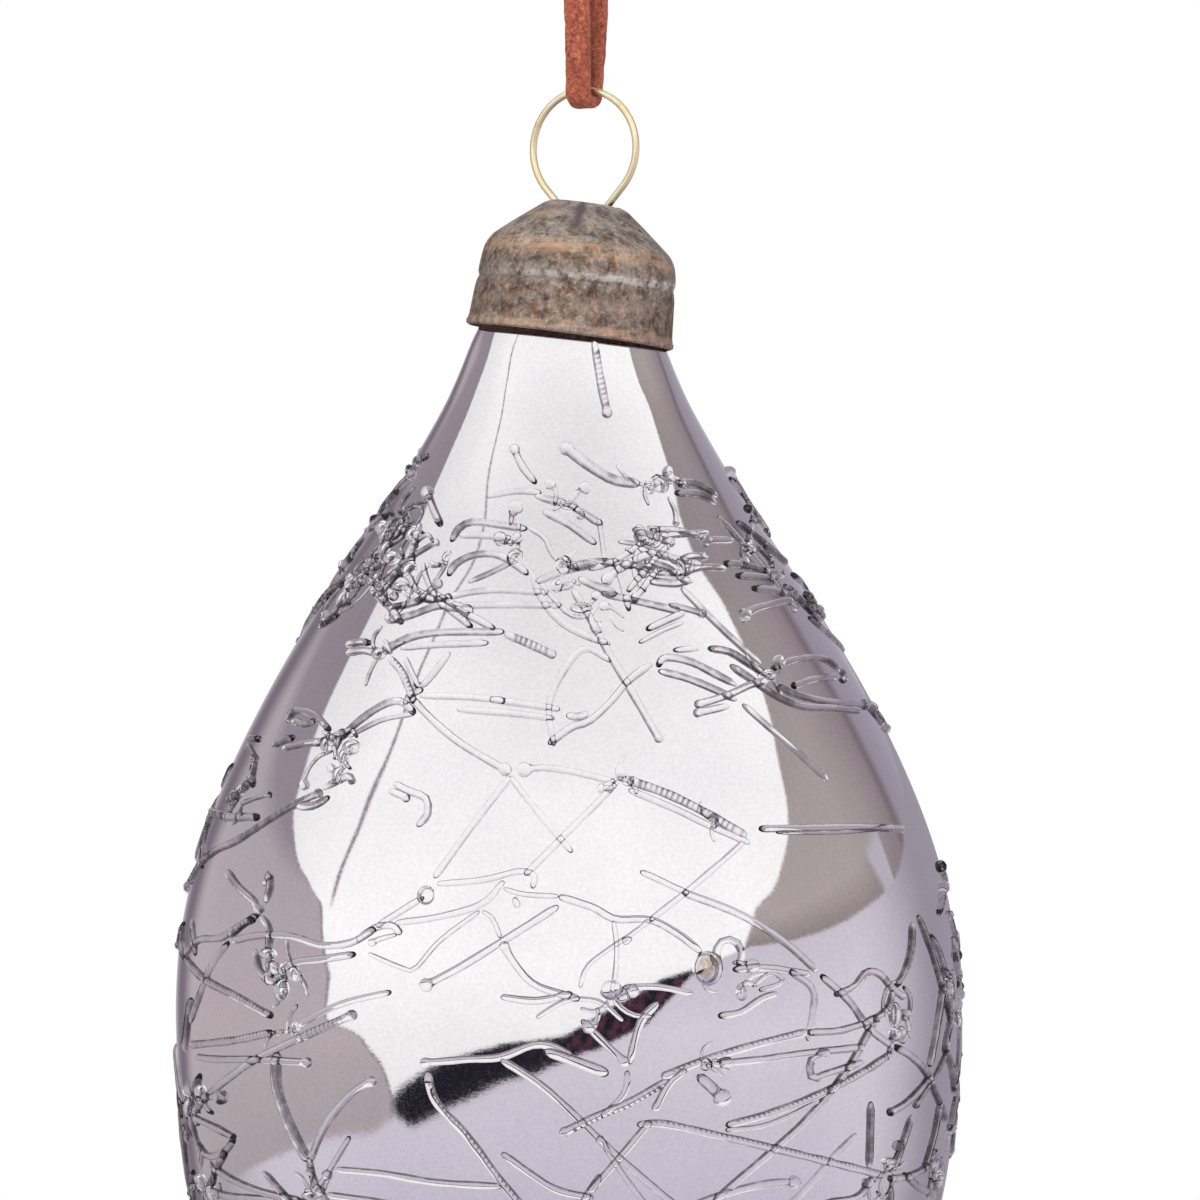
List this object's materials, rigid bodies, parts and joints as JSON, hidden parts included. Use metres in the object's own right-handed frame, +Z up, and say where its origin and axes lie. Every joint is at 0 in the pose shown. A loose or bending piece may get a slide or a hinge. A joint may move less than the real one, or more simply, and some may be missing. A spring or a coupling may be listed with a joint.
{
  "type": "icicle hanging ornament",
  "caption": "Hanging icicle drop of silvered glass with trailed glass threads, a leaning brass cap, a ring clip and a suede lace loop.",
  "frame": {"origin": "the hanging point, between the strands of the lace loop and just under its knot", "axes": "+Z up, -Y the front, the glass drop's axis runs down -Z"},
  "size_m": [0.088, 0.0902, 0.2983],
  "materials": {
    "suede": "rust-red suede with a short nap",
    "gold_wire": "bright gold-coloured wire",
    "worn_brass": "dull, worn and patinated",
    "silvered_glass": "blown glass silvered inside, faintly lilac",
    "clear_glass": "clear fused glass thread"
  },
  "bodies": {
    "knot": {"lace_knot": "suede", "lace_tail_left": "suede", "lace_tail_right": "suede"},
    "lace": {"suede_lace": "suede"},
    "clip": {"wire_clip": "gold_wire"},
    "cap": {"brass_cap": "worn_brass"},
    "drop": {"glass_drop": "silvered_glass", "thread_below_cap": "clear_glass", "thread_shoulder_front": "clear_glass", "thread_shoulder_short": "clear_glass", "thread_band_arch": "clear_glass", "thread_band_left": "clear_glass", "thread_band_slant": "clear_glass", "thread_band_right": "clear_glass", "thread_right_hook": "clear_glass", "thread_long_front": "clear_glass", "thread_centre_wave": "clear_glass", "thread_left_cluster": "clear_glass", "thread_left_rise": "clear_glass", "thread_front_fall_left": "clear_glass", "thread_front_fall_right": "clear_glass", "thread_belly_wave": "clear_glass", "thread_belly_long": "clear_glass", "thread_belly_bead": "clear_glass", "thread_left_belly": "clear_glass", "thread_lower_left": "clear_glass", "thread_lower_front": "clear_glass", "thread_lower_right": "clear_glass", "thread_back_band": "clear_glass", "thread_back_upper": "clear_glass", "thread_back_long": "clear_glass", "thread_back_belly": "clear_glass", "thread_back_lower": "clear_glass", "thread_right_side": "clear_glass", "thread_left_side": "clear_glass", "thread_left_lower": "clear_glass", "thread_taper_front": "clear_glass", "thread_taper_right": "clear_glass", "thread_taper_back": "clear_glass"}
  },
  "joints": [
    {"name": "lace_twist", "type": "hinge", "parent": "knot", "child": "lace", "pos_m": [0, 0, 0], "axis": [0, 0, 1], "range_deg": [-180, 180]},
    {"name": "ring_swing", "type": "hinge", "parent": "lace", "child": "clip", "pos_m": [0.0019, 0, -0.055], "axis": [0.8788, -0.4772, 0], "range_deg": [-75, 75]},
    {"name": "clip_rock", "type": "hinge", "parent": "clip", "child": "cap", "pos_m": [0.0019, 0, -0.06796], "axis": [0.873, -0.474, -0.1149], "range_deg": [-7, 7]},
    {"name": "glass_pull", "type": "slide", "parent": "cap", "child": "drop", "axis": [0, 0, -1], "range_m": [0, 0.025]}
  ]
}
